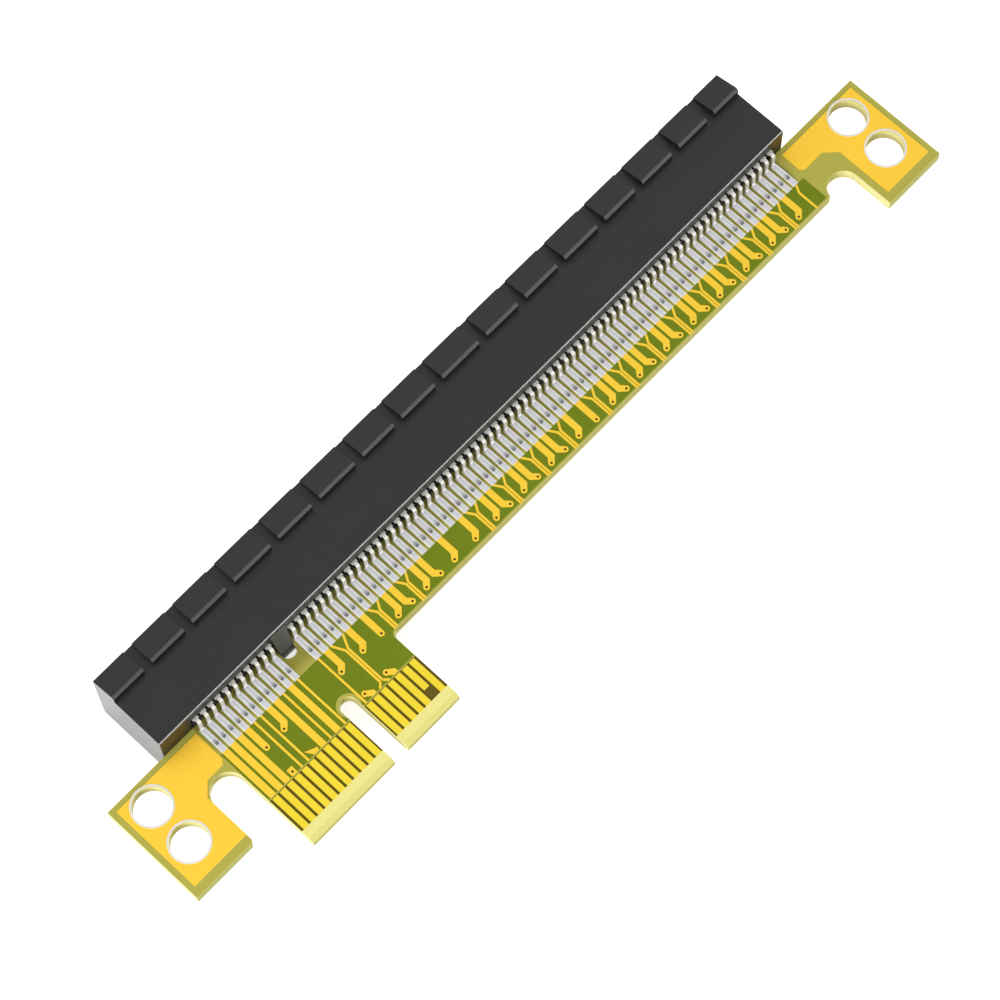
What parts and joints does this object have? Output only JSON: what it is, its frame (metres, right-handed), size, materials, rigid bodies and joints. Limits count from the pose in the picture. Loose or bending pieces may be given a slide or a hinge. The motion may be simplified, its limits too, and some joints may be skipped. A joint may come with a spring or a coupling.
{
  "type": "pcie riser adapter",
  "caption": "Passive riser adapter board with a long keyed card slot along its top, a short gold card edge below and two mounting ears with screw holes.",
  "frame": {"origin": "middle of the footprint, on the plane of the housing's rear face, on which the part lies", "axes": "+X along the contact rows from contact 1 to the last, +Y from the card edge to the slot's mouth, +Z out of the board's front face"},
  "size_m": [0.108, 0.0258, 0.0106],
  "materials": {
    "board": "green solder mask over glass-epoxy laminate",
    "housing": "satin moulded black plastic",
    "tinned_contact": "bright tin plating",
    "gold": "gold plating",
    "copper": "gold-coloured bare copper plane"
  },
  "bodies": {
    "root": {"circuit_board": "board", "slot_housing": "housing", "front_contacts_short": "tinned_contact", "front_contacts_long": "tinned_contact", "front_fingers_left": "gold", "front_fingers_right": "gold", "front_left_ground": "copper", "front_right_ground": "copper", "rear_contacts_short": "tinned_contact", "rear_contacts_long": "tinned_contact", "rear_fingers_left": "gold", "rear_fingers_right": "gold", "rear_left_ground": "copper", "rear_right_ground": "copper"}
  },
  "joints": []
}
